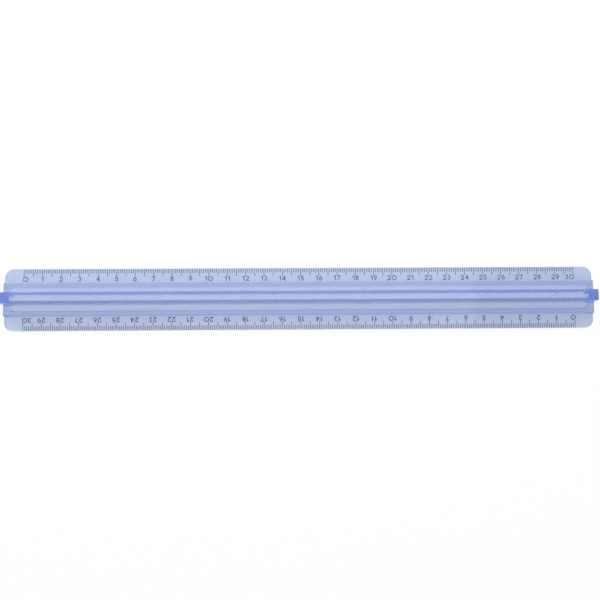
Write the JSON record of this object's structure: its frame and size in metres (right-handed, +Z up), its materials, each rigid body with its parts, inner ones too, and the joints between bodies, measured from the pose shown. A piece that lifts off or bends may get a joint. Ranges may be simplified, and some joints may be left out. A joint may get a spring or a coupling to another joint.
{
  "type": "grip ruler",
  "caption": "Clear blue plastic ruler with a raised hollow grip along the middle and a centimetre scale printed on each long edge.",
  "frame": {"origin": "middle of the resting face, under the middle of the ruler", "axes": "+X along the ruler, the way the upper scale counts up; +Y across it, towards the upper scale; +Z up, out of the printed face"},
  "size_m": [0.32, 0.0338, 0.01],
  "materials": {
    "clear_blue_plastic": "clear, gloss",
    "scale_ink": "printed ink, satin"
  },
  "bodies": {
    "root": {"ruler_body": "clear_blue_plastic", "upper_millimetre_marks": "scale_ink", "upper_half_centimetre_marks": "scale_ink", "upper_centimetre_marks": "scale_ink", "upper_numerals": "scale_ink", "lower_millimetre_marks": "scale_ink", "lower_half_centimetre_marks": "scale_ink", "lower_centimetre_marks": "scale_ink", "lower_numerals": "scale_ink"}
  },
  "joints": []
}
